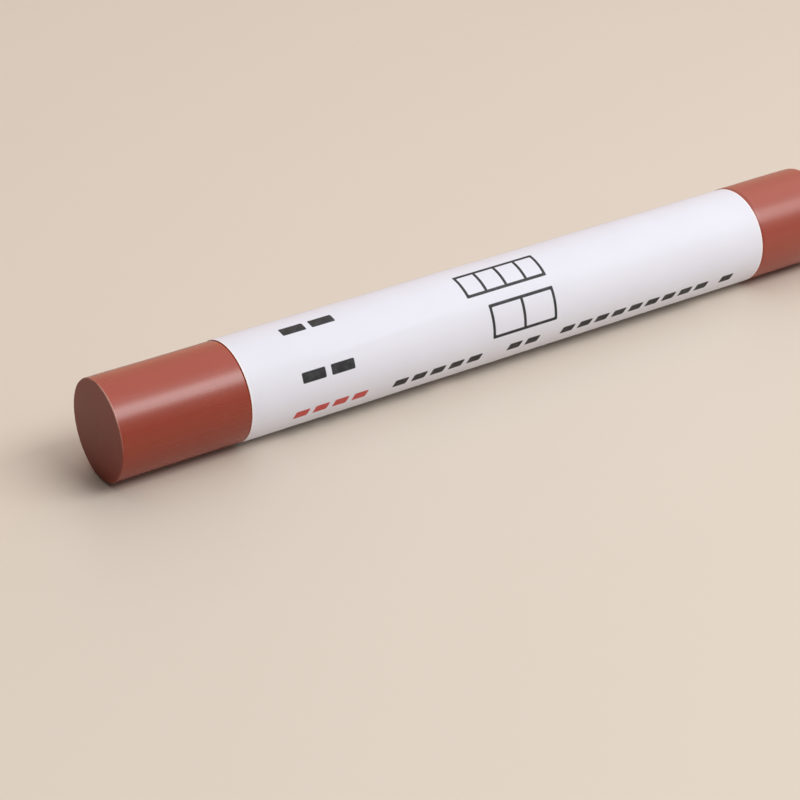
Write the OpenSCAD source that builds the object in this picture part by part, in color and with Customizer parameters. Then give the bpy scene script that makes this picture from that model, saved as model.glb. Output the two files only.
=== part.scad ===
// Furniture repair wax stick: a solid hard-wax rod with a self-adhesive paper label wound round it.
// It lies on its label, along X. The origin is on the surface it lies on, under its middle.

/* [Wax rod] */
// Diameter of the wax rod
rod_d = 11; // [8:0.5:16]
// Length of the wax rod, from end face to end face
rod_len = 96; // [70:1:140]
// Width of the broken edge round the tip's end face
tip_break = 0.15; // [0.05:0.05:0.6]
// Width of the broken edge round the butt's end face
butt_break = 0.35; // [0.05:0.05:0.6]

/* [Label] */
// Bare wax that the label leaves at the tip, the end that is rubbed on the furniture
bare_tip = 15; // [8:0.5:24]
// Bare wax that the label leaves at the butt
bare_butt = 11; // [6:0.5:20]
// Thickness of the label's paper
paper_t = 0.08; // [0.06:0.01:0.16]
// Thickness of the glue film on the paper's back
glue_t = 0.03; // [0.03:0.005:0.06]
// Length of the lap, where the label's end is stuck over its start
lap_len = 3; // [2:0.25:5]
// Angle of the label's start edge above the level of the axis, on the back
seam_angle = 12; // [12:1:20]

/* [Hidden] */
$fn = 96;

rod_r = rod_d / 2;
label_len = rod_len - bare_tip - bare_butt;
// Each further turn of the label lies this much further out
layer_step = glue_t + paper_t;
// Radius of the label's outside, on which the stick lies
label_r = rod_r + layer_step;
axis_height = label_r;
// Arc of the lap, in degrees
lap_arc = lap_len / (label_r + layer_step) * 180 / PI;
// Before its own start edge the stiff paper leaves the wax on a tangent and climbs one layer
paper_r = rod_r + glue_t;
climb_arc = acos(paper_r / (paper_r + layer_step));
// The climb is thinner than its sheet by this share on each side, and reaches this many degrees
// into the arcs before and after it, so that the three make one solid
climb_inset_share = 0.1;
climb_bite = 0.1;

// Turns a shape built round Z onto the stick's axis, with angles counted from the back upwards
module on_axis(start = 0) {
    translate([start - rod_len / 2, 0, axis_height]) rotate([90, 0, 90]) children();
}

// A point of the cross-section, from its distance to the axis and its angle
function polar(r, a) = [r * cos(a), r * sin(a)];

// Part of a tube, as long as the label: inner radius r, wall t, from angle a over an arc
module tube_arc(r, t, a, arc) {
    rotate(a) rotate_extrude(angle = arc) translate([r, 0]) square([t, label_len]);
}

// One sheet of the label: a turn on radius r, the climb over its own start edge, and the lap
module wound_sheet(r, t) {
    inset = climb_inset_share * t;
    foot = seam_angle - climb_arc - climb_bite;
    head = seam_angle + climb_bite;
    climb = [
        polar(r + inset, foot),
        polar(r + t - inset, foot),
        polar(r + layer_step + t - inset, head),
        polar(r + layer_step + inset, head)
    ];
    on_axis(bare_tip) {
        tube_arc(r, t, seam_angle, 360 - climb_arc);
        linear_extrude(label_len) polygon(climb);
        tube_arc(r + layer_step, t, seam_angle, lap_arc);
    }
}

// Solid rod of hard wax, with the sharp edge of each end face taken off
module wax_rod() {
    outline = [
        [0, 0],
        [rod_r - tip_break, 0],
        [rod_r, tip_break],
        [rod_r, rod_len - butt_break],
        [rod_r - butt_break, rod_len],
        [0, rod_len]
    ];
    color("#9c4a3c") on_axis() rotate_extrude() polygon(outline);
}

// Coated paper label, one turn and a lap
module label_paper() {
    color("#eeeaf0") wound_sheet(paper_r, paper_t);
}

// Glue film on the back of the paper, between it and the wax and inside the lap
module label_glue() {
    color("#e8dfc8") wound_sheet(rod_r, glue_t);
}

wax_rod();
label_paper();
label_glue();
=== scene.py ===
import math

import bpy
import numpy as np
from mathutils import Matrix, Vector


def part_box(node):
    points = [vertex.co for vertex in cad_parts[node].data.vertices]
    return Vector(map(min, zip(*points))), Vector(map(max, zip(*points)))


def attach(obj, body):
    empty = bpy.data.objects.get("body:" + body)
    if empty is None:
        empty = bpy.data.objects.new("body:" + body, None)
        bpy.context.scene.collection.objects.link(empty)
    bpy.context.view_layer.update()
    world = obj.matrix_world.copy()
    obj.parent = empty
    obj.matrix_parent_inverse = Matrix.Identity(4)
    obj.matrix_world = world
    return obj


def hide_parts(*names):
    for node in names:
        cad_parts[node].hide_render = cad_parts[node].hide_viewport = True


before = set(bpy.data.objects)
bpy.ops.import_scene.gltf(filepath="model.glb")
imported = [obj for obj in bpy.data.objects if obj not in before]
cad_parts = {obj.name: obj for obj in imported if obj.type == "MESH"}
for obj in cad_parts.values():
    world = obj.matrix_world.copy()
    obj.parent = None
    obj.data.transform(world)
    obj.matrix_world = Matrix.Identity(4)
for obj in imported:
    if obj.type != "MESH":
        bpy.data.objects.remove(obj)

bl_info = {
    "name": "Furniture Repair Wax Stick",
    "version": (1, 0, 0),
    "blender": (4, 5, 0),
    "location": "View3D > Sidebar > Wax Stick",
    "description": "Builds a stick of furniture repair wax with its wound paper label, "
                   "on a plain stage",
    "category": "Add Mesh",
}

MM = 0.001

# Sizes that the frame gives. The stick lies along X, and angles run round its axis from the back
# (+Y) over the top (+Z) to the front.
ROD_LOW, ROD_HIGH = (np.array(corner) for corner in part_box("wax_rod"))
PAPER_LOW, PAPER_HIGH = (np.array(corner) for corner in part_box("label_paper"))
ROD_RADIUS = (ROD_HIGH[2] - ROD_LOW[2]) / 2
AXIS_HEIGHT = (ROD_HIGH[2] + ROD_LOW[2]) / 2
LABEL_RADIUS = AXIS_HEIGHT - PAPER_LOW[2]
LAYER_STEP = LABEL_RADIUS - ROD_RADIUS

# Seeds of the waves that make surfaces uneven
TIP_SEED, BUTT_SEED, WANDER_SEED, COCKLE_SEED = 3, 8, 21, 5

# Size of the photograph's frame, in pixels, and the sensor width that the lens is given for
FRAME_PIXELS = 800
SENSOR_WIDTH = 36.0


class WaxRodSettings(bpy.types.PropertyGroup):
    """Sizes and colours of the wax rod"""

    tip_round: bpy.props.FloatProperty(
        name="Tip rounding", description="Radius of the edge round the tip's end face",
        default=0.10 * MM, min=0.02 * MM, unit="LENGTH", precision=5)
    butt_round: bpy.props.FloatProperty(
        name="Butt rounding", description="Radius of the edge round the butt's end face",
        default=0.35 * MM, min=0.02 * MM, unit="LENGTH", precision=5)
    tip_skew: bpy.props.FloatProperty(
        name="Tip skew", description="How far the tip's cut runs out of square, to each side",
        default=0.19 * MM, min=0.0, unit="LENGTH", precision=6)
    skew_angle: bpy.props.FloatProperty(
        name="Skew angle", description="Angle of the place where the skewed tip is shortest",
        default=math.radians(18), subtype="ANGLE")
    wander: bpy.props.FloatProperty(
        name="Wander", description="How far the cast surface wanders from a true cylinder",
        default=0.014 * MM, min=0.0, unit="LENGTH", precision=6)
    rim_wear: bpy.props.FloatProperty(
        name="Rim wear", description="How much deeper the rounding of an end's rim gets in places",
        default=0.02 * MM, min=0.0, unit="LENGTH", precision=6)
    tip_swell: bpy.props.FloatProperty(
        name="Tip swell", description="How far the bare tip stands out past the wax under the label",
        default=0.05 * MM, min=0.0, unit="LENGTH", precision=6)
    butt_swell: bpy.props.FloatProperty(
        name="Butt swell", description="How far the bare butt stands out past the wax under the label",
        default=0.15 * MM, min=0.0, unit="LENGTH", precision=6)
    butt_rise: bpy.props.FloatProperty(
        name="Butt rise", description="How far the bare butt's axis lies above that of the rest",
        default=0.06 * MM, min=0.0, unit="LENGTH", precision=6)
    color: bpy.props.FloatVectorProperty(
        name="Wax", description="Colour of the pigmented wax",
        default=(0.312, 0.0267, 0.002), min=0.0, max=1.0, subtype="COLOR")
    pale_color: bpy.props.FloatVectorProperty(
        name="Pale wax", description="Colour where the pigment is thinner or the wax is rubbed",
        default=(0.385, 0.052, 0.018), min=0.0, max=1.0, subtype="COLOR")
    # Painted light: the paler colour towards the butt, for the stronger light at that end
    painted_veil_color: bpy.props.FloatVectorProperty(
        name="Bloom", description="Colour towards the butt, where the wax has bloomed",
        default=(0.353, 0.052, 0.024), min=0.0, max=1.0, subtype="COLOR")
    # Painted highlight: the pale colour on the rims' upper front, where the light falls
    rim_color: bpy.props.FloatVectorProperty(
        name="Rubbed rim", description="Colour of the wax where an end's rim is rubbed",
        default=(0.60, 0.33, 0.27), min=0.0, max=1.0, subtype="COLOR")
    # Painted light and shade round the skin: paler on the upper front where the light falls, darker on
    # the lower front and back
    painted_light_side: bpy.props.FloatProperty(
        name="Pale side", description="How much paler the skin is along its upper front",
        default=0.14, min=0.0, max=0.5)
    painted_shade_side: bpy.props.FloatProperty(
        name="Dark side", description="How much darker the skin is along its lower front and back",
        default=0.17, min=0.0, max=0.5)


class LabelSettings(bpy.types.PropertyGroup):
    """Sizes and colours of the paper label and its glue"""

    glue_thickness: bpy.props.FloatProperty(
        name="Glue thickness", description="Thickness of the glue film on the paper's back",
        default=0.03 * MM, min=0.005 * MM, unit="LENGTH", precision=6)
    seam_angle: bpy.props.FloatProperty(
        name="Seam angle", description="Angle of the label's start edge, from the back upwards",
        default=math.radians(12), subtype="ANGLE")
    lap_length: bpy.props.FloatProperty(
        name="Lap", description="Length of the label's end that is stuck over its start",
        default=3.0 * MM, min=0.0, unit="LENGTH", precision=5)
    cockle: bpy.props.FloatProperty(
        name="Cockle", description="Height of the soft unevenness that the damp paper has",
        default=0.012 * MM, min=0.0, unit="LENGTH", precision=6)
    crease_height: bpy.props.FloatProperty(
        name="Crease height", description="Height of the long soft crease on the upper front",
        default=0.035 * MM, min=0.0, unit="LENGTH", precision=6)
    paper_color: bpy.props.FloatVectorProperty(
        name="Paper", description="Colour of the coated paper",
        default=(0.841, 0.838, 0.922), min=0.0, max=1.0, subtype="COLOR")
    # Pale cut edges: paper fibres, and a painted highlight along the edges
    edge_fibre_and_highlight_color: bpy.props.FloatVectorProperty(
        name="Cut edge", description="Colour along the paper's cut edges, where its fibres show",
        default=(0.96, 0.92, 0.93), min=0.0, max=1.0, subtype="COLOR")
    # Painted shadow: the thin dark line beside the lap's edge
    seam_shadow_color: bpy.props.FloatVectorProperty(
        name="Seam dust", description="Colour of the dust that the glue holds along the lap's edge",
        default=(0.42, 0.37, 0.34), min=0.0, max=1.0, subtype="COLOR")
    ink_color: bpy.props.FloatVectorProperty(
        name="Dark ink", description="Colour of the dark printed marks",
        default=(0.006, 0.006, 0.008), min=0.0, max=1.0, subtype="COLOR")
    red_color: bpy.props.FloatVectorProperty(
        name="Red ink", description="Colour of the red printed marks",
        default=(0.55, 0.055, 0.045), min=0.0, max=1.0, subtype="COLOR")
    glue_color: bpy.props.FloatVectorProperty(
        name="Glue", description="Colour of the glue film",
        default=(0.62, 0.53, 0.40), min=0.0, max=1.0, subtype="COLOR")


class StageSettings(bpy.types.PropertyGroup):
    """Camera, lights and floor"""

    camera_place: bpy.props.FloatVectorProperty(
        name="Camera place", description="Where the camera stands",
        default=(-144.95 * MM, -195.40 * MM, 124.84 * MM), subtype="TRANSLATION")
    camera_heading: bpy.props.FloatProperty(
        name="Camera heading", description="Direction the camera looks in, from +X towards +Y",
        default=math.radians(55.516), subtype="ANGLE")
    camera_dip: bpy.props.FloatProperty(
        name="Camera dip", description="How far the camera looks down below the horizon",
        default=math.radians(28.177), subtype="ANGLE")
    focal_pixels: bpy.props.FloatProperty(
        name="Focal length", description="Focal length in pixels of the photograph's frame",
        default=2429.2, min=100.0)
    floor_color: bpy.props.FloatVectorProperty(
        name="Floor", description="Colour of the plain floor",
        default=(0.738, 0.655, 0.563), min=0.0, max=1.0, subtype="COLOR")
    key_radiance: bpy.props.FloatProperty(
        name="Key light", description="Brightness of the long softbox, where 1 is a lit white wall",
        default=4.8, min=0.0)
    room_radiance: bpy.props.FloatProperty(
        name="Room light", description="Brightness of the soft glows round the room",
        default=1.0, min=0.0)


# Shader nodes

def feed(tree, node, values):
    """Fills a node's inputs from a dictionary. An input goes by its name or its number, and its value
    is a plain value or another node's socket."""
    for key, value in values.items():
        if isinstance(value, bpy.types.NodeSocket):
            tree.links.new(value, node.inputs[key])
        else:
            node.inputs[key].default_value = value


def add_node(tree, kind, values=None, **settings):
    """Adds a node of that kind, sets its properties and feeds its inputs"""
    node = tree.nodes.new(kind)
    for name, value in settings.items():
        setattr(node, name, value)
    feed(tree, node, values or {})
    return node


def math_node(tree, operation, first, second=0.0, third=0.0, clamp=False):
    """The result socket of one Math node"""
    node = add_node(tree, "ShaderNodeMath", {0: first, 1: second, 2: third},
                    operation=operation, use_clamp=clamp)
    return node.outputs[0]


def smooth_step(tree, value, low, high):
    """A socket that rises smoothly from 0 at low to 1 at high"""
    node = add_node(tree, "ShaderNodeMapRange", {"Value": value, "From Min": low, "From Max": high},
                    interpolation_type="SMOOTHSTEP")
    return node.outputs["Result"]


def mix_color(tree, share, first, second):
    """The socket of a colour that goes from first to second with share"""
    # A Mix node's inputs 6 and 7 and its output 2 are those for colours
    node = add_node(tree, "ShaderNodeMix", {"Factor": share, 6: first, 7: second}, data_type="RGBA")
    return node.outputs[2]


def opaque(color):
    """A colour property as red, green, blue and full alpha"""
    return (*color, 1.0)


def dimmed(color, share):
    """A colour property at that share of its brightness, with full alpha"""
    return opaque([share * channel for channel in color])


def new_group(name, inputs, outputs):
    """An empty shader node group with those named sockets, and its input and output nodes.
    inputs and outputs are lists of (name, socket type, default or None)."""
    group = bpy.data.node_groups.new(name, "ShaderNodeTree")
    for in_out, sockets in (("INPUT", inputs), ("OUTPUT", outputs)):
        for label, kind, default in sockets:
            socket = group.interface.new_socket(label, in_out=in_out, socket_type=kind)
            if default is not None:
                socket.default_value = default
    return group, group.nodes.new("NodeGroupInput"), group.nodes.new("NodeGroupOutput")


def use_group(tree, group, values):
    """Places a node group in a material and returns its output sockets"""
    return add_node(tree, "ShaderNodeGroup", values, node_tree=group).outputs


def new_material(name):
    """An empty node material, its tree and its Principled shader"""
    material = bpy.data.materials.new(name)
    material.use_nodes = True
    tree = material.node_tree
    tree.nodes.clear()
    shader = tree.nodes.new("ShaderNodeBsdfPrincipled")
    output = tree.nodes.new("ShaderNodeOutputMaterial")
    tree.links.new(shader.outputs["BSDF"], output.inputs["Surface"])
    return material, tree, shader


FLOAT, VECTOR = "NodeSocketFloat", "NodeSocketVector"


def grain_group():
    """Uneven tone and fine relief of a matt surface: a slow noise for its tone, and a fine noise for
    its height, both of patches given in millimetres"""
    group, source, result = new_group(
        "Surface grain",
        [("Vector", VECTOR, None), ("Patch Size", FLOAT, 4.0), ("Grain Size", FLOAT, 0.2),
         ("Contrast", FLOAT, 1.0)],
        [("Tone", FLOAT, None), ("Height", FLOAT, None)])
    frequency = math_node(group, "DIVIDE", 1 / MM, source.outputs["Patch Size"])
    patches = add_node(group, "ShaderNodeTexNoise", {
        "Vector": source.outputs["Vector"], "Scale": frequency, "Detail": 4.0, "Roughness": 0.55})
    centred = math_node(group, "SUBTRACT", patches.outputs["Fac"], 0.5)
    tone = math_node(group, "MULTIPLY_ADD", centred, source.outputs["Contrast"], 0.5, clamp=True)
    frequency = math_node(group, "DIVIDE", 1 / MM, source.outputs["Grain Size"])
    grains = add_node(group, "ShaderNodeTexNoise", {
        "Vector": source.outputs["Vector"], "Scale": frequency, "Detail": 3.0, "Roughness": 0.6})
    group.links.new(tone, result.inputs["Tone"])
    group.links.new(grains.outputs["Fac"], result.inputs["Height"])
    return group


def scuff_group():
    """Sparse fine scratches: the thin lines where a stretched, bent noise crosses its middle value,
    kept only in the patches where a second noise is high"""
    group, source, result = new_group(
        "Fine scuffs",
        [("Vector", VECTOR, None), ("Length", FLOAT, 6.0), ("Spacing", FLOAT, 0.7),
         ("Turn", FLOAT, 0.3), ("Amount", FLOAT, 0.5)],
        [("Mask", FLOAT, None)])
    turn = add_node(group, "ShaderNodeCombineXYZ", {
        "X": source.outputs["Turn"], "Y": source.outputs["Turn"], "Z": source.outputs["Turn"]})
    along = math_node(group, "DIVIDE", 1 / MM, source.outputs["Length"])
    across = math_node(group, "DIVIDE", 1 / MM, source.outputs["Spacing"])
    stretch = add_node(group, "ShaderNodeCombineXYZ", {"X": along, "Y": across, "Z": across})
    mapping = add_node(group, "ShaderNodeMapping", {
        "Vector": source.outputs["Vector"], "Rotation": turn.outputs[0], "Scale": stretch.outputs[0]})
    lines = add_node(group, "ShaderNodeTexNoise", {
        "Vector": mapping.outputs[0], "Scale": 1.0, "Detail": 1.0, "Distortion": 0.4})
    line_reach, rarest, most_eased, patch_border = 0.006, 0.75, 0.3, 0.08
    from_middle = math_node(group, "SUBTRACT", lines.outputs["Fac"], 0.5)
    from_middle = math_node(group, "ABSOLUTE", from_middle)
    thin = math_node(group, "SUBTRACT", 1.0, smooth_step(group, from_middle, 0.0, line_reach))
    patches = add_node(group, "ShaderNodeTexNoise", {
        "Vector": mapping.outputs[0], "Scale": 0.7, "Detail": 2.0})
    eased = math_node(group, "MULTIPLY", source.outputs["Amount"], most_eased)
    start = math_node(group, "SUBTRACT", rarest, eased)
    end = math_node(group, "ADD", start, patch_border)
    kept = smooth_step(group, patches.outputs["Fac"], start, end)
    group.links.new(math_node(group, "MULTIPLY", thin, kept), result.inputs["Mask"])
    return group


def print_run_group():
    """A run of printed marks on the label's flat millimetre coordinates. Each mark is a box with
    round corners: its mask is 1 where the distance to the box's inner core is under the corner's
    radius. A box's inside, Line in from its border, is left out, so a thin Line makes empty frames.
    The run leans by Slant times the height above its middle."""
    group, source, result = new_group(
        "Print run",
        [("Vector", VECTOR, None), ("Start", FLOAT, 0.0), ("Count", FLOAT, 1.0), ("Pitch", FLOAT, 3.0),
         ("Width", FLOAT, 2.0), ("Height", FLOAT, 1.0), ("Line", FLOAT, 1.0), ("Middle", FLOAT, 0.0),
         ("Slant", FLOAT, 0.0)],
        [("Mask", FLOAT, None)])
    corner, soft = 0.16, 0.04
    place = add_node(group, "ShaderNodeSeparateXYZ", {"Vector": source.outputs["Vector"]})
    above = math_node(group, "SUBTRACT", place.outputs["Y"], source.outputs["Middle"])
    lean = math_node(group, "MULTIPLY", above, source.outputs["Slant"])
    along = math_node(group, "SUBTRACT", math_node(group, "SUBTRACT", place.outputs["X"], lean),
                      source.outputs["Start"])
    turns = math_node(group, "DIVIDE", along, source.outputs["Pitch"])
    centred = math_node(group, "SUBTRACT", math_node(group, "FRACT", turns), 0.5)
    across = math_node(group, "MULTIPLY", centred, source.outputs["Pitch"])

    def box(border):
        """The mask of a box whose sides lie border in from the mark's"""
        sides = []
        for distance, size in ((across, "Width"), (above, "Height")):
            half = math_node(group, "MULTIPLY_ADD", source.outputs[size], 0.5, -corner)
            half = math_node(group, "SUBTRACT", half, border)
            past = math_node(group, "SUBTRACT", math_node(group, "ABSOLUTE", distance), half)
            sides.append(math_node(group, "MAXIMUM", past, 0.0))
        past = add_node(group, "ShaderNodeCombineXYZ", {"X": sides[0], "Y": sides[1]})
        distance = add_node(group, "ShaderNodeVectorMath", {0: past.outputs[0]}, operation="LENGTH")
        fall = smooth_step(group, distance.outputs["Value"], corner - soft, corner + soft)
        return math_node(group, "SUBTRACT", 1.0, fall)

    mark = math_node(group, "SUBTRACT", box(0.0), box(source.outputs["Line"]), clamp=True)
    started = math_node(group, "GREATER_THAN", turns, 0.0)
    unfinished = math_node(group, "LESS_THAN", turns, source.outputs["Count"])
    within = math_node(group, "MULTIPLY", started, unfinished)
    group.links.new(math_node(group, "MULTIPLY", mark, within), result.inputs["Mask"])
    return group


def shared_group(name, build):
    """The node group of that name, built once"""
    return bpy.data.node_groups.get(name) or build()


def wax_material(settings):
    """Hard pigmented wax with a satin skin, which carries painted light and shade round the rod. The
    mesh's cut_face attribute is 1 on the end faces, which are a little rougher, show the marks of the
    cut and are painted darker as shade, and its rim attribute is 1 where a pale painted highlight lies
    on a rounded rim."""
    material, tree, shader = new_material("hard wax")
    place = add_node(tree, "ShaderNodeTexCoord").outputs["Object"]
    cut = add_node(tree, "ShaderNodeAttribute", attribute_name="cut_face").outputs["Fac"]
    rim = add_node(tree, "ShaderNodeAttribute", attribute_name="rim").outputs["Fac"]
    grain = use_group(tree, shared_group("Surface grain", grain_group),
                      {"Vector": place, "Patch Size": 5.0, "Grain Size": 0.16, "Contrast": 1.4})
    scuffs = use_group(tree, shared_group("Fine scuffs", scuff_group),
                       {"Vector": place, "Length": 9.0, "Spacing": 1.1, "Turn": 0.35, "Amount": 0.25})
    # Streaks that the wax has from being pressed through its mould, drawn out along the rod
    drawn_out = add_node(tree, "ShaderNodeMapping", {"Vector": place, "Scale": (55.0, 1100.0, 1100.0)})
    streaks = add_node(tree, "ShaderNodeTexNoise", {
        "Vector": drawn_out.outputs[0], "Scale": 1.0, "Detail": 2.0, "Roughness": 0.4})
    blend = math_node(tree, "MULTIPLY_ADD", streaks.outputs["Fac"], 0.5,
                      math_node(tree, "MULTIPLY", grain["Tone"], 0.5))
    least_pale, streak_pale, scuff_pale = 0.06, 0.18, 0.12
    pale = smooth_step(tree, blend, 0.25, 0.75)
    pale = math_node(tree, "MULTIPLY_ADD", pale, streak_pale, least_pale)
    pale = math_node(tree, "MAXIMUM", pale, math_node(tree, "MULTIPLY", scuffs["Mask"], scuff_pale))
    color = mix_color(tree, pale, opaque(settings.color), opaque(settings.pale_color))
    # From the tip's side to the butt's the wax turns rougher and is painted paler: painted light, for
    # the stronger light at that end
    along = add_node(tree, "ShaderNodeSeparateXYZ", {"Vector": place}).outputs["X"]
    veil_start, veil_end, raggedness = -35 * MM, 52 * MM, 20 * MM
    uneven = math_node(tree, "MULTIPLY_ADD", grain["Tone"], raggedness, along)
    bloomed = smooth_step(tree, uneven, veil_start, veil_end)
    color = mix_color(tree, bloomed, color, opaque(settings.painted_veil_color))
    # Painted light and shade: the skin is painted paler on its upper front and darker on its lower
    # front and back, most of all away from the butt. The end faces are painted darker as shade, least
    # of all near their rims.
    across = add_node(tree, "ShaderNodeMapping", {
        "Vector": place, "Scale": (0.0, 1 / ROD_RADIUS, 1 / ROD_RADIUS),
        "Location": (0.0, 0.0, -AXIS_HEIGHT / ROD_RADIUS)}).outputs[0]

    def side(angle, sharpness):
        """A value that falls from 1 at an angle round the rod, as a power of the cosine"""
        cosine = add_node(tree, "ShaderNodeVectorMath", {0: across, 1: direction(90, angle)},
                          operation="DOT_PRODUCT").outputs["Value"]
        return math_node(tree, "POWER", math_node(tree, "MAXIMUM", cosine, 0.0), sharpness)

    darker = math_node(tree, "ADD", side(200, 2.0), side(45, 5.0))
    painted_skin_shading = math_node(tree, "MULTIPLY", darker, -settings.painted_shade_side)
    painted_skin_shading = math_node(tree, "MULTIPLY_ADD", side(112, 12.0), settings.painted_light_side, painted_skin_shading)
    away_from_butt = math_node(tree, "MULTIPLY_ADD", bloomed, -0.5, 1.0)
    painted_skin_shading = math_node(tree, "MULTIPLY", painted_skin_shading, away_from_butt)
    # Painted shade on the end faces: darker towards their middles, less dark towards their rims
    face_middle_shade, face_rim_lift = -0.15, 0.1
    off_axis = add_node(tree, "ShaderNodeVectorMath", {0: across, 1: across}, operation="DOT_PRODUCT")
    painted_face_shade = math_node(tree, "MULTIPLY_ADD", off_axis.outputs["Value"], face_rim_lift, face_middle_shade)
    change = math_node(tree, "SUBTRACT", painted_face_shade, painted_skin_shading)
    tone = math_node(tree, "MULTIPLY_ADD", cut, change, painted_skin_shading)
    brightness = math_node(tree, "ADD", tone, 1.0)
    toned = add_node(tree, "ShaderNodeVectorMath", {0: color, "Scale": brightness}, operation="SCALE")
    color = toned.outputs["Vector"]
    # Painted highlight: the rims' upper front is painted pale, where the light falls
    rubbed = math_node(tree, "MULTIPLY", rim, smooth_step(tree, grain["Tone"], 0.1, 0.6))
    color = mix_color(tree, rubbed, color, opaque(settings.rim_color))
    smoothest, streak_rough, butt_rough, cut_rough = 0.255, 0.03, 0.055, 0.2
    rough = math_node(tree, "MULTIPLY_ADD", streaks.outputs["Fac"], streak_rough, smoothest)
    rough = math_node(tree, "MULTIPLY_ADD", bloomed, butt_rough, rough)
    rough = math_node(tree, "MULTIPLY_ADD", cut, cut_rough, rough)
    # Saw marks on the end faces run straight across them
    saw = add_node(tree, "ShaderNodeTexWave", {
        "Vector": place, "Scale": 420.0, "Distortion": 3.0, "Detail": 2.0, "Detail Scale": 2.0},
        wave_type="BANDS", bands_direction="Z")
    streak_relief, saw_relief = 0.12, 1.2
    relief = math_node(tree, "MULTIPLY_ADD", streaks.outputs["Fac"], streak_relief, grain["Height"])
    sawn = math_node(tree, "MULTIPLY", saw.outputs["Fac"], cut)
    relief = math_node(tree, "MULTIPLY_ADD", sawn, saw_relief, relief)
    bump = add_node(tree, "ShaderNodeBump", {
        "Strength": 0.35, "Distance": 0.006 * MM, "Height": relief})
    feed(tree, shader, {
        "Base Color": color, "Roughness": rough, "Normal": bump.outputs["Normal"], "IOR": 1.57,
        "Subsurface Weight": 0.12, "Subsurface Radius": (1.0, 0.35, 0.2),
        "Subsurface Scale": 0.7 * MM})
    return material


# Generic printed marks, in millimetres on the flat label: two captions, each with a row of empty
# cells to write in, over rows of small slanted dashes that run on round the underside. A run is its
# start from the tip's side, count of marks, pitch, width, height, line thickness, middle from the
# label's start edge, slant, and whether its ink is red.
ROW_ONE, ROW_TWO, SMALL_ROW, SMALL_ROW_GAP = 8.6, 14.3, 18.5, 3.3
SOLID, RULE = 2.0, 0.36
BAR_PITCH, BAR_WIDTH, BAR_HEIGHT = 3.6, 2.9, 1.15
DASH_PITCH, DASH_WIDTH, DASH_HEIGHT, DASH_SLANT = 2.45, 1.75, 0.95, -0.35


def caption(start, middle):
    """Two solid bars"""
    return [(start, 2, BAR_PITCH, BAR_WIDTH, BAR_HEIGHT, SOLID, middle, 0.0, False)]


def cells(start, count, cell, height, middle):
    """A frame, divided into cells by upright rules"""
    width = count * cell
    return [(start, 1, width, width, height, RULE, middle, 0.0, False),
            (start + cell / 2, count - 1, cell, RULE, height, SOLID, middle, 0.0, False)]


PRINT_RUNS = caption(6.0, ROW_ONE) + cells(28.7, 4, cell=2.7, height=3.3, middle=ROW_ONE + 1.1)
PRINT_RUNS += caption(6.0, ROW_TWO) + cells(30.8, 2, cell=4.4, height=3.9, middle=ROW_TWO + 0.3)
PRINT_RUNS += [
    (start, count, DASH_PITCH, DASH_WIDTH, DASH_HEIGHT, SOLID, SMALL_ROW + SMALL_ROW_GAP * row,
     DASH_SLANT, red)
    for row, start, count, red in (
        (0, 5.0, 4, True), (0, 17.6, 5, False), (0, 32.9, 2, False), (0, 40.3, 9, False),
        (0, 63.7, 1, False), (1, 5.0, 8, False), (1, 27.4, 14, False), (2, 5.0, 14, False),
        (2, 42.1, 6, False))
]


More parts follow.
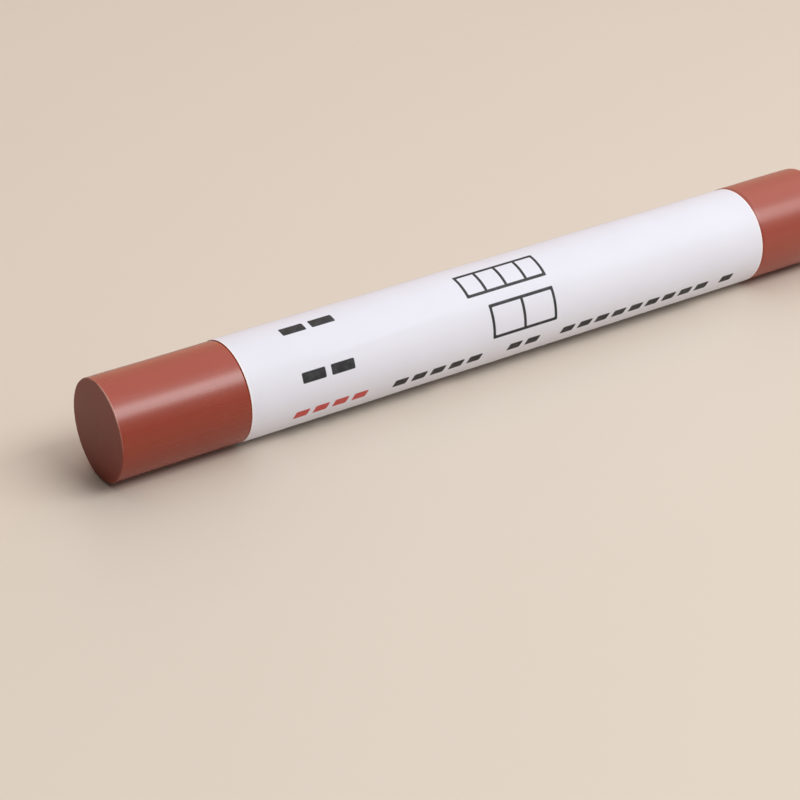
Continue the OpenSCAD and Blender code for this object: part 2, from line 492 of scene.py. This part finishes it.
def paper_material(settings, flat_size):
    """Coated white paper with printed marks, pale cut edges that are partly fibres and partly a
    painted highlight, and a thin painted shadow line beside the lap's edge. Its label UV map runs from
    0 to 1 over the flat sheet. flat_size is the sheet's length along the stick and round it, in
    metres."""
    material, tree, shader = new_material("coated label paper")
    place = add_node(tree, "ShaderNodeTexCoord").outputs["Object"]
    sheet = add_node(tree, "ShaderNodeUVMap", uv_map="label").outputs["UV"]
    flat = add_node(tree, "ShaderNodeMapping", {
        "Vector": sheet, "Scale": (flat_size[0] / MM, flat_size[1] / MM, 1.0)}).outputs[0]
    grain = use_group(tree, shared_group("Surface grain", grain_group),
                      {"Vector": place, "Patch Size": 7.0, "Grain Size": 0.11, "Contrast": 1.2})
    scuffs = use_group(tree, shared_group("Fine scuffs", scuff_group),
                       {"Vector": place, "Length": 5.0, "Spacing": 1.6, "Turn": 0.8, "Amount": 0.4})
    print_run = shared_group("Print run", print_run_group)

    def printed(runs):
        """The mask of all marks of those runs"""
        mask = 0.0
        for start, count, pitch, width, height, line, middle, slant, _ in runs:
            run = use_group(tree, print_run, {
                "Vector": flat, "Start": start, "Count": float(count), "Pitch": pitch, "Width": width,
                "Height": height, "Line": line, "Middle": middle, "Slant": slant})
            mask = math_node(tree, "MAXIMUM", mask, run["Mask"])
        return mask

    # The ink is thinner in places
    least_cover, more_cover = 0.965, 0.03
    ink = add_node(tree, "ShaderNodeTexNoise", {"Vector": flat, "Scale": 1.3, "Detail": 5.0})
    thick = smooth_step(tree, ink.outputs["Fac"], 0.3, 0.6)
    cover = math_node(tree, "MULTIPLY_ADD", thick, more_cover, least_cover)
    dark = math_node(tree, "MULTIPLY", printed([run for run in PRINT_RUNS if not run[-1]]), cover)
    red = math_node(tree, "MULTIPLY", printed([run for run in PRINT_RUNS if run[-1]]), cover)
    color = mix_color(tree, grain["Tone"], dimmed(settings.paper_color, 0.93),
                      opaque(settings.paper_color))
    spot = add_node(tree, "ShaderNodeSeparateXYZ", {"Vector": flat})
    half, last = flat_size[0] / MM / 2, flat_size[1] / MM
    off_middle = math_node(tree, "ABSOLUTE", math_node(tree, "SUBTRACT", spot.outputs["X"], half))
    band_start, band_full, seam_shadow_width = 0.2, 0.1, 0.3
    # Pale bands along the cut edges: paper fibres, and a painted highlight along the edges
    at_edge = math_node(tree, "MAXIMUM",
                        smooth_step(tree, off_middle, half - band_start, half - band_full),
                        smooth_step(tree, spot.outputs["Y"], last - band_start, last - band_full))
    color = mix_color(tree, at_edge, color, opaque(settings.edge_fibre_and_highlight_color))
    # The lap's edge lies over the first turn just past bare, where the painted shadow line beside it
    # begins to fade
    bare = settings.lap_length / MM * (1 - 2 * LAYER_STEP / LABEL_RADIUS)
    unshadowed = smooth_step(tree, spot.outputs["Y"], bare, bare + seam_shadow_width)
    seam_shadow = math_node(tree, "SUBTRACT", 1.0, unshadowed)
    color = mix_color(tree, seam_shadow, color, opaque(settings.seam_shadow_color))
    color = mix_color(tree, dark, color, opaque(settings.ink_color))
    color = mix_color(tree, red, color, opaque(settings.red_color))
    smoothest, grain_rough, scuff_rough = 0.55, 0.12, 0.12
    rough = math_node(tree, "MULTIPLY_ADD", grain["Tone"], grain_rough, smoothest)
    rough = math_node(tree, "MULTIPLY_ADD", scuffs["Mask"], scuff_rough, rough)
    ink_relief, scuff_relief = 0.25, -0.5
    relief = math_node(tree, "MULTIPLY_ADD", dark, ink_relief, grain["Height"])
    relief = math_node(tree, "MULTIPLY_ADD", scuffs["Mask"], scuff_relief, relief)
    bump = add_node(tree, "ShaderNodeBump", {
        "Strength": 0.3, "Distance": 0.004 * MM, "Height": relief})
    feed(tree, shader, {
        "Base Color": color, "Roughness": rough, "Normal": bump.outputs["Normal"], "IOR": 1.5})
    return material


def glue_material(settings):
    """A faintly yellow glue film, with a slow unevenness from how it was spread"""
    material, tree, shader = new_material("label glue")
    place = add_node(tree, "ShaderNodeTexCoord").outputs["Object"]
    grain = use_group(tree, shared_group("Surface grain", grain_group),
                      {"Vector": place, "Patch Size": 2.5, "Grain Size": 0.3, "Contrast": 1.5})
    color = mix_color(tree, grain["Tone"], dimmed(settings.glue_color, 0.8),
                      opaque(settings.glue_color))
    smoothest, grain_rough = 0.2, 0.2
    rough = math_node(tree, "MULTIPLY_ADD", grain["Tone"], grain_rough, smoothest)
    bump = add_node(tree, "ShaderNodeBump", {
        "Strength": 0.3, "Distance": 0.003 * MM, "Height": grain["Height"]})
    feed(tree, shader, {"Base Color": color, "Roughness": rough, "Normal": bump.outputs["Normal"]})
    return material


def floor_material(settings):
    """Plain pale matt floor, with a barely uneven tone"""
    material, tree, shader = new_material("plain floor")
    place = add_node(tree, "ShaderNodeTexCoord").outputs["Object"]
    grain = use_group(tree, shared_group("Surface grain", grain_group),
                      {"Vector": place, "Patch Size": 40.0, "Grain Size": 0.5, "Contrast": 0.8})
    color = mix_color(tree, grain["Tone"], dimmed(settings.floor_color, 0.985),
                      opaque(settings.floor_color))
    feed(tree, shader, {"Base Color": color, "Roughness": 0.5})
    return material


# Meshes

def add_piece(name, vertices, faces, sharp_angle, material):
    """A mesh object at the origin from arrays of points and of faces, with smooth faces and with
    sharp edges where two faces meet at more than sharp_angle"""
    mesh = bpy.data.meshes.new(name)
    mesh.from_pydata(vertices.tolist(), [], faces)
    mesh.polygons.foreach_set("use_smooth", np.ones(len(mesh.polygons), bool))
    mesh.set_sharp_from_angle(angle=sharp_angle)
    mesh.update()
    mesh.validate()
    mesh.materials.append(material)
    piece = bpy.data.objects.new(name, mesh)
    bpy.context.scene.collection.objects.link(piece)
    return piece


def ring_faces(rings, around):
    """Quads between neighbouring rings of a closed tube of rings, numbered ring by ring"""
    ring, place = np.meshgrid(np.arange(rings - 1), np.arange(around), indexing="ij")
    after = (place + 1) % around
    quads = np.stack([ring * around + place, ring * around + after,
                      (ring + 1) * around + after, (ring + 1) * around + place], axis=-1)
    return quads.reshape(-1, 4)


def wave_sum(seed, terms, *arguments):
    """Smooth seeded unevenness, mostly between -1 and 1: the sum of cosines over the square root of
    their count. Each has a phase of its own and a whole number of waves in a turn of each argument,
    of which terms gives the most."""
    random = np.random.default_rng(seed)
    total, count = 0.0, 9
    for _ in range(count):
        phase = random.uniform(0, 2 * math.pi)
        for most, argument in zip(terms, arguments):
            phase = phase + random.integers(-most, most + 1) * argument
        total = total + np.cos(phase)
    return total / math.sqrt(count)


def rod_surface(settings, body_steps=320, corner_steps=7, face_steps=22, around=200):
    """The wax rod as rings round its axis. The outline runs from the centre of the tip's face out
    along the face, round a quarter circle at the rim, along the body, round the butt's rim and in to
    the centre of the butt's face. The body's radius wanders by a sum of slow waves, and past each edge
    of the label it swells, so that the bare ends are nearly flush with the label or stand proud. The
    bare butt's axis is raised. Each rim's quarter circle is deeper where a sum of waves round the axis
    is high. The tip's face is skewed by a cosine, so that its back lies further in than its front. The
    third and fourth results are 1 on the end faces, and on the rims' upper front, where the light
    falls and a pale painted highlight goes."""
    angle = np.linspace(0, 2 * math.pi, around, endpoint=False)
    dish_depth, faded_share = 0.012 * MM, 0.02
    highlight_middle, highlight_reach, highlight_gain = math.radians(125), math.radians(58), 1.25

    def face_and_rim(end_x, inward, swell, rounding, skew, seed):
        """The x and the radius of an end's rings, from the middle of its face out over its rim"""
        end_radius = ROD_RADIUS + swell
        wear = settings.rim_wear * np.clip(wave_sum(seed, (11,), angle), 0, None) ** 2
        corner = rounding + wear
        share = np.linspace(1 / face_steps, 1, face_steps)[:, None]
        radius = share * (end_radius - corner)
        dish = dish_depth * wave_sum(seed + 1, (2, 3), share * math.pi, angle)
        x = end_x + inward * (dish_depth + dish * (1 - share ** 2))
        face = (x + 0 * radius, radius)
        turn = np.linspace(0, math.pi / 2, corner_steps + 1)[1:, None]
        rim = (end_x + inward * (dish_depth * np.cos(turn) + corner * (1 - np.cos(turn))),
               end_radius - corner * (1 - np.sin(turn)))
        x, radius = (np.concatenate(parts) for parts in zip(face, rim))
        lean = np.cos(angle - settings.skew_angle) * radius / end_radius
        return x + skew * lean, radius

    tip_x, tip_radius = face_and_rim(
        ROD_LOW[0], 1, settings.tip_swell, settings.tip_round, settings.tip_skew, TIP_SEED)
    butt_x, butt_radius = face_and_rim(
        ROD_HIGH[0], -1, settings.butt_swell, settings.butt_round, 0, BUTT_SEED)
    # Even rings, one more beside each rim, and four close ones past each edge of the label, where the
    # swell grows from the first of them to the third
    length = ROD_HIGH[0] - ROD_LOW[0]
    beside = 0.1 * MM / length
    past_edge = np.array([0.03, 0.08, 0.13, 0.17]) * MM
    close = np.concatenate([PAPER_LOW[0] - past_edge, PAPER_HIGH[0] + past_edge])
    share = np.concatenate([
        np.linspace(0, 1, body_steps + 1)[1:-1], [beside, 1 - beside], (close - ROD_LOW[0]) / length])
    share = np.sort(share)[:, None]
    body_x = tip_x[-1] + (butt_x[-1] - tip_x[-1]) * share
    fade = np.clip(np.minimum(share, 1 - share) / faded_share, 0, 1)
    bare_tip, bare_butt = (np.clip((past_label - past_edge[0]) / (past_edge[2] - past_edge[0]), 0, 1)
                           for past_label in (PAPER_LOW[0] - body_x, body_x - PAPER_HIGH[0]))
    waves = wave_sum(WANDER_SEED, (3, 2), share * 4 * math.pi, angle)
    wander = settings.wander * fade * (waves - 1)
    body_radius = ROD_RADIUS + wander + (bare_tip + bare_butt) * fade * settings.wander
    body_radius = body_radius + bare_tip * settings.tip_swell + bare_butt * settings.butt_swell
    x = np.concatenate([tip_x, body_x, butt_x[::-1]])
    radius = np.concatenate([tip_radius, body_radius, butt_radius[::-1]])
    axis = AXIS_HEIGHT + settings.butt_rise * np.concatenate(
        [0 * tip_x, bare_butt + 0 * body_x, 0 * butt_x + 1])
    points = np.stack([x, radius * np.cos(angle), axis + radius * np.sin(angle)], axis=-1)
    centres = np.array([[x[ring].mean(), 0, axis[ring].mean()] for ring in (0, -1)])
    ring = np.arange(len(x))
    from_end = np.minimum(ring, ring[::-1])
    cut = np.repeat(from_end < face_steps, around)
    on_rim = (from_end >= face_steps) & (from_end < face_steps + corner_steps)
    # The pale painted highlight on the rims' upper front, where the light falls
    from_middle = (angle - highlight_middle) / highlight_reach
    rubbed = np.where(np.abs(from_middle) < 1, np.cos(from_middle * math.pi / 2), 0)
    rim = np.outer(on_rim, np.minimum(highlight_gain * rubbed, 1)).ravel()
    return points, centres, cut, rim


def build_rod(settings):
    """The wax rod as one closed mesh, in place of the frame's plain rod"""
    points, centres, cut, rim = rod_surface(settings)
    rings, around = points.shape[:2]
    vertices = np.concatenate([points.reshape(-1, 3), centres])
    tip, butt = rings * around, rings * around + 1
    place = np.arange(around)
    after = (place + 1) % around
    last = (rings - 1) * around
    faces = ring_faces(rings, around)[:, ::-1].tolist()
    faces += np.stack([np.full(around, tip), after, place], axis=-1)[:, ::-1].tolist()
    faces += np.stack([np.full(around, butt), last + place, last + after], axis=-1)[:, ::-1].tolist()
    rod = add_piece("wax_body", vertices, faces, sharp_angle=math.radians(60),
                    material=wax_material(settings))
    for name, values, at_centres in (("cut_face", cut, [1, 1]), ("rim", rim, [0, 0])):
        attribute = rod.data.attributes.new(name, "FLOAT", "POINT")
        attribute.data.foreach_set("value", np.concatenate([values, at_centres]).astype(float))
    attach(rod, "root")
    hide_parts("wax_rod")


def wound_path(settings, inner_radius, turn_steps=176, climb_steps=10, lap_steps=20):
    """Angle, radius and length so far along a wound sheet's inner side, from its start edge. The
    radius is inner_radius for the first turn. The stiff sheet then leaves the circle on a tangent, so
    that past the tangent point it is inner_radius over the cosine of the angle past it, until it is
    one layer further out, above the start edge, where the lap begins."""
    climb = math.acos(inner_radius / (inner_radius + LAYER_STEP))
    lap = settings.lap_length / (LABEL_RADIUS + LAYER_STEP)
    tangent = 2 * math.pi - climb
    angle = np.concatenate([
        np.linspace(0, tangent, turn_steps, endpoint=False),
        np.linspace(tangent, 2 * math.pi, climb_steps, endpoint=False),
        np.linspace(2 * math.pi, 2 * math.pi + lap, lap_steps)])
    past = np.clip(angle - tangent, 0, climb)
    radius = inner_radius / np.cos(past)
    steps = np.hypot(np.diff(radius), radius[1:] * np.diff(angle))
    length = np.concatenate([[0], np.cumsum(steps)])
    return angle + settings.seam_angle, radius, length


def paper_lift(settings, x, angle):
    """How far the paper stands off the glue: slow cockles, one long soft crease beside the highlight,
    whose section is a bell curve, and corners of the lap that have let go a little. Cockles and crease
    fade out underneath, where the stick's weight presses the paper flat, and at the label's ends."""
    crease_x = (-24 * MM, -5 * MM)
    crease_angle, crease_turn, crease_width = map(math.radians, (146, -9, 3.5))
    below, pressed_reach, loose_reach = map(math.radians, (270, 40, 14))
    faded_end, loose_height, corner_power = 0.05, 0.05 * MM, 12
    half = (PAPER_HIGH[0] - PAPER_LOW[0]) / 2
    along = (x - (PAPER_HIGH[0] + PAPER_LOW[0]) / 2) / half
    cockle = settings.cockle * (1 + wave_sum(COCKLE_SEED, (5, 4), along * math.pi, angle))
    share = (x - crease_x[0]) / (crease_x[1] - crease_x[0])
    middle = crease_angle + share * crease_turn
    ends = np.clip(4 * share, 0, 1) * np.clip(4 * (1 - share), 0, 1)
    crease = settings.crease_height * ends * np.exp(-((angle - middle) / crease_width) ** 2)
    pressed = np.clip((1 - np.abs(angle - below) / pressed_reach) * 3, 0, 1)
    inside = np.clip((1 - np.abs(along)) / faded_end, 0, 1)
    loose = np.clip((angle - angle.max() + loose_reach) / loose_reach, 0, 1)
    corner = loose_height * loose ** 2 * np.abs(along) ** corner_power
    return (cockle + crease) * (1 - pressed) * inside + corner


def wound_sheet(name, settings, inner_radius, thickness, x_steps, lift, material):
    """A closed sheet wound round the rod. Its inner and outer sides are grids over the length and the
    wound path, thickness apart, and strips of quads along the four edges close it. Its label UV map
    is the flat sheet, from 0 to 1 both ways."""
    angle, radius, length = wound_path(settings, inner_radius)
    x = np.linspace(PAPER_LOW[0], PAPER_HIGH[0], x_steps)
    x_grid, angle_grid = np.meshgrid(x, angle, indexing="ij")
    off = lift(x_grid, angle_grid)
    outer_radius = np.minimum(radius * (1 + thickness / inner_radius),
                              inner_radius + LAYER_STEP + thickness)
    sides = []
    for side_radius in (radius, outer_radius):
        reach = side_radius + off
        sides.append(np.stack([x_grid, reach * np.cos(angle_grid),
                               AXIS_HEIGHT + reach * np.sin(angle_grid)], axis=-1).reshape(-1, 3))
    rows, columns = x_grid.shape
    number = np.arange(rows * columns).reshape(rows, columns)
    inner = np.stack([number[:-1, :-1], number[:-1, 1:], number[1:, 1:], number[1:, :-1]],
                     axis=-1).reshape(-1, 4)
    outer = inner[:, ::-1] + rows * columns
    border = np.concatenate([number[:-1, 0], number[-1, :-1], number[:0:-1, -1], number[0, :0:-1]])
    following = np.roll(border, -1)
    edge = np.stack([border, following, following + rows * columns, border + rows * columns], axis=-1)
    faces = np.concatenate([inner, outer, edge])
    piece = add_piece(name, np.concatenate(sides), faces.tolist(), sharp_angle=math.radians(50),
                      material=material)
    flat = np.stack(np.meshgrid(np.linspace(0, 1, rows), length / length[-1], indexing="ij"),
                    axis=-1).reshape(-1, 2)
    corners = np.empty(len(piece.data.loops), int)
    piece.data.loops.foreach_get("vertex_index", corners)
    layer = piece.data.uv_layers.new(name="label")
    layer.data.foreach_set("uv", flat[corners % (rows * columns)].ravel())
    return piece


def build_paper(settings):
    """The paper label, in place of the frame's plain one"""
    inner_radius = ROD_RADIUS + settings.glue_thickness
    thickness = LABEL_RADIUS - inner_radius
    flat_size = (PAPER_HIGH[0] - PAPER_LOW[0], wound_path(settings, inner_radius)[2][-1])
    label = wound_sheet("label_sheet", settings, inner_radius, thickness, x_steps=230,
                        lift=lambda x, angle: paper_lift(settings, x, angle),
                        material=paper_material(settings, flat_size))
    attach(label, "root")
    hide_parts("label_paper")


def build_glue(settings):
    """The glue film, in place of the frame's plain one. It stays on the wax under the cockles."""
    film = wound_sheet("glue_film", settings, ROD_RADIUS, settings.glue_thickness, x_steps=30,
                       lift=lambda x, angle: 0 * x, material=glue_material(settings))
    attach(film, "root")
    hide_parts("label_glue")


# Stage

def build_floor(settings):
    """A flat disc of rings and spokes, just below the stick"""
    around, circles, reach, below = 96, 11, 1.6, 0.01 * MM
    angle = np.linspace(0, 2 * math.pi, around, endpoint=False)
    radius = reach * np.linspace(0, 1, circles + 1)[1:, None] ** 2
    rings = np.stack([radius * np.cos(angle), radius * np.sin(angle), 0 * radius * angle - below],
                     axis=-1)
    vertices = np.concatenate([rings.reshape(-1, 3), [[0, 0, -below]]])
    middle = len(vertices) - 1
    place = np.arange(around)
    faces = ring_faces(len(radius), around)[:, ::-1].tolist()
    faces += np.stack([np.full(around, middle), place, (place + 1) % around], axis=-1).tolist()
    floor = add_piece("floor", vertices, faces, math.pi, floor_material(settings))


def build_camera(settings):
    """The photograph's camera: it looks along its heading, dipped below the horizon, with no roll"""
    dip, heading = settings.camera_dip, settings.camera_heading
    forward = Vector((math.cos(dip) * math.cos(heading), math.cos(dip) * math.sin(heading),
                      -math.sin(dip)))
    right = forward.cross(Vector((0, 0, 1))).normalized()
    up = right.cross(forward)
    data = bpy.data.cameras.new("photo_camera")
    data.sensor_fit = "HORIZONTAL"
    data.sensor_width = SENSOR_WIDTH
    data.lens = settings.focal_pixels / FRAME_PIXELS * SENSOR_WIDTH
    data.clip_start = 1 * MM
    data.clip_end = 10.0
    camera = bpy.data.objects.new("photo_camera", data)
    turn = Matrix((right, up, -forward)).transposed().to_4x4()
    camera.matrix_world = Matrix.Translation(Vector(settings.camera_place)) @ turn
    bpy.context.scene.collection.objects.link(camera)
    bpy.context.scene.camera = camera


def direction(heading, height):
    """Unit vector towards a heading, from +X towards +Y, and a height above the horizon, in degrees"""
    heading, height = math.radians(heading), math.radians(height)
    return Vector((math.cos(height) * math.cos(heading), math.cos(height) * math.sin(heading),
                   math.sin(height)))


def build_key_light(settings):
    """A long softbox to the right of the camera and above, which lies along the stick"""
    place = Vector((0.205, -0.2706, 0.3658))
    length, width = 0.40, 0.20
    toward = place.normalized()
    data = bpy.data.lights.new("long_softbox", "AREA")
    data.shape = "RECTANGLE"
    data.size, data.size_y = length, width
    data.energy = settings.key_radiance * length * width * math.pi
    light = bpy.data.objects.new("long_softbox", data)
    side = Vector((1, 0, 0))
    side = (side - side.dot(toward) * toward).normalized()
    turn = Matrix((side, toward.cross(side), toward)).transposed().to_4x4()
    light.matrix_world = Matrix.Translation(place) @ turn
    bpy.context.scene.collection.objects.link(light)


# Soft glows of the room: heading, height above the horizon, sharpness and colour. The low glow at the
# back is warm. The side that the tip points to stays dark.
GLOWS = (
    (64.0, 58.0, 9.0, (1.0, 1.0, 1.0)),
    (305.0, 62.0, 12.0, (2.04, 2.04, 2.04)),
    (8.0, 48.0, 12.0, (1.18, 1.18, 1.18)),
    (300.0, 20.0, 8.0, (0.82, 0.82, 0.82)),
    (62.0, 12.0, 6.0, (1.15, 0.75, 0.56)),
)


def build_world(settings):
    """A soft room. Each glow falls off with a power of the cosine of the angle from its middle. Beyond
    the floor's edge the camera itself sees what the dimmer far floor looks like."""
    world = bpy.data.worlds.new("soft_room")
    world.use_nodes = True
    tree = world.node_tree
    tree.nodes.clear()
    looked_at = add_node(tree, "ShaderNodeTexCoord").outputs["Generated"]
    total = (0.0, 0.0, 0.0)
    for heading, height, sharpness, glow in GLOWS:
        cosine = add_node(tree, "ShaderNodeVectorMath", {0: looked_at, 1: direction(heading, height)},
                          operation="DOT_PRODUCT").outputs["Value"]
        fall = math_node(tree, "POWER", math_node(tree, "MAXIMUM", cosine, 0.0), sharpness)
        total = add_node(tree, "ShaderNodeVectorMath", {0: fall, 1: glow, 2: total},
                         operation="MULTIPLY_ADD").outputs["Vector"]
    room = add_node(tree, "ShaderNodeBackground", {"Color": total, "Strength": settings.room_radiance})
    seen = add_node(tree, "ShaderNodeBackground", {
        "Color": dimmed(settings.floor_color, 0.67), "Strength": 1.0})
    rays = add_node(tree, "ShaderNodeLightPath")
    either = add_node(tree, "ShaderNodeMixShader", {
        "Fac": rays.outputs["Is Camera Ray"], 1: room.outputs[0], 2: seen.outputs[0]})
    output = tree.nodes.new("ShaderNodeOutputWorld")
    tree.links.new(either.outputs[0], output.inputs["Surface"])
    bpy.context.scene.world = world


# Operators

class WAXSTICK_OT_rod(bpy.types.Operator):
    """Build the wax rod"""

    bl_idname = "waxstick.rod"
    bl_label = "Wax rod"

    def execute(self, context):
        build_rod(context.scene.wax_rod_settings)
        return {"FINISHED"}


class WAXSTICK_OT_glue(bpy.types.Operator):
    """Build the glue film between the wax and the label"""

    bl_idname = "waxstick.glue"
    bl_label = "Label glue"

    def execute(self, context):
        build_glue(context.scene.wax_label_settings)
        return {"FINISHED"}


class WAXSTICK_OT_label(bpy.types.Operator):
    """Build the wound paper label"""

    bl_idname = "waxstick.label"
    bl_label = "Paper label"

    def execute(self, context):
        build_paper(context.scene.wax_label_settings)
        return {"FINISHED"}


class WAXSTICK_OT_stage(bpy.types.Operator):
    """Build the floor, the lights and the camera"""

    bl_idname = "waxstick.stage"
    bl_label = "Stage"

    def execute(self, context):
        settings = context.scene.wax_stage_settings
        build_floor(settings)
        build_camera(settings)
        build_key_light(settings)
        build_world(settings)
        context.scene.view_settings.view_transform = "Standard"
        return {"FINISHED"}


class WAXSTICK_PT_panel(bpy.types.Panel):
    """Lists the pieces of the wax stick"""

    bl_idname = "WAXSTICK_PT_panel"
    bl_label = "Wax Stick"
    bl_space_type = "VIEW_3D"
    bl_region_type = "UI"
    bl_category = "Wax Stick"

    def draw(self, context):
        layout = self.layout
        for operator, settings in (
                (WAXSTICK_OT_rod, context.scene.wax_rod_settings),
                (WAXSTICK_OT_glue, None),
                (WAXSTICK_OT_label, context.scene.wax_label_settings),
                (WAXSTICK_OT_stage, context.scene.wax_stage_settings)):
            layout.operator(operator.bl_idname)
            for name in getattr(settings, "__annotations__", {}):
                layout.prop(settings, name)


CLASSES = (WaxRodSettings, LabelSettings, StageSettings, WAXSTICK_OT_rod, WAXSTICK_OT_glue,
           WAXSTICK_OT_label, WAXSTICK_OT_stage, WAXSTICK_PT_panel)
SETTINGS = {"wax_rod_settings": WaxRodSettings, "wax_label_settings": LabelSettings,
            "wax_stage_settings": StageSettings}


def register():
    for item in CLASSES:
        bpy.utils.register_class(item)
    for name, group in SETTINGS.items():
        setattr(bpy.types.Scene, name, bpy.props.PointerProperty(type=group))


def unregister():
    for name in SETTINGS:
        delattr(bpy.types.Scene, name)
    for item in reversed(CLASSES):
        bpy.utils.unregister_class(item)


def main():
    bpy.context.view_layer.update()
    register()
    bpy.ops.waxstick.rod()
    bpy.ops.waxstick.glue()
    bpy.ops.waxstick.label()
    bpy.ops.waxstick.stage()


if __name__ == "__main__":
    main()
